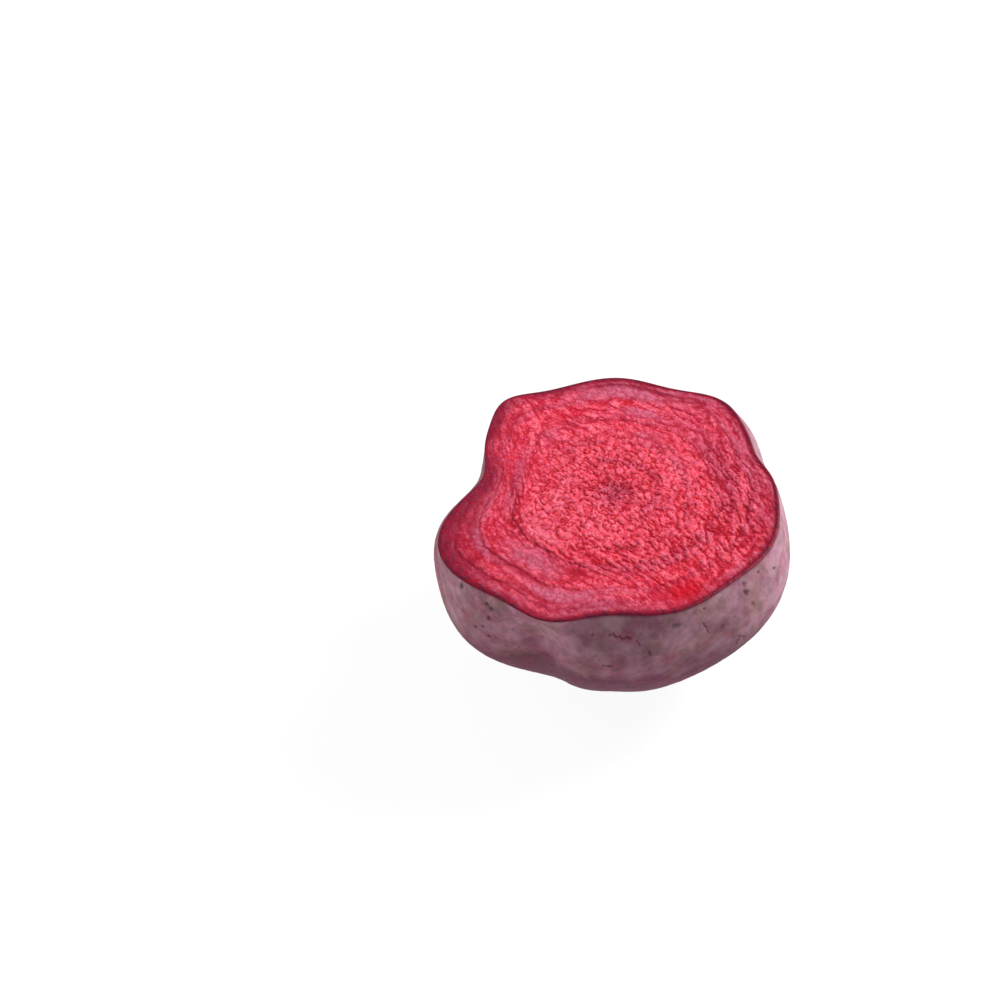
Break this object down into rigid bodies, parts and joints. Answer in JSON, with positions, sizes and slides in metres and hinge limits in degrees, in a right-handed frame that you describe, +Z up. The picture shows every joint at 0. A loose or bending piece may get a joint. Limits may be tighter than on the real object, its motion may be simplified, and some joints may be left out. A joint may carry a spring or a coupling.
{
  "type": "halved beetroot",
  "caption": "Root end of a raw red beetroot, cut across to show its growth rings, standing on its trimmed root with the cut face up.",
  "frame": {"origin": "middle of the footprint, on the surface that the beetroot rests on", "axes": "+Z up, along the growth axis, square to the cut face. +X is to the right and +Y away as the picture is framed."},
  "size_m": [0.0916, 0.0914, 0.05],
  "materials": {
    "skin": "matte",
    "flesh": "satin",
    "scar": "matte"
  },
  "bodies": {
    "root": {"beetroot": "skin"}
  },
  "joints": []
}
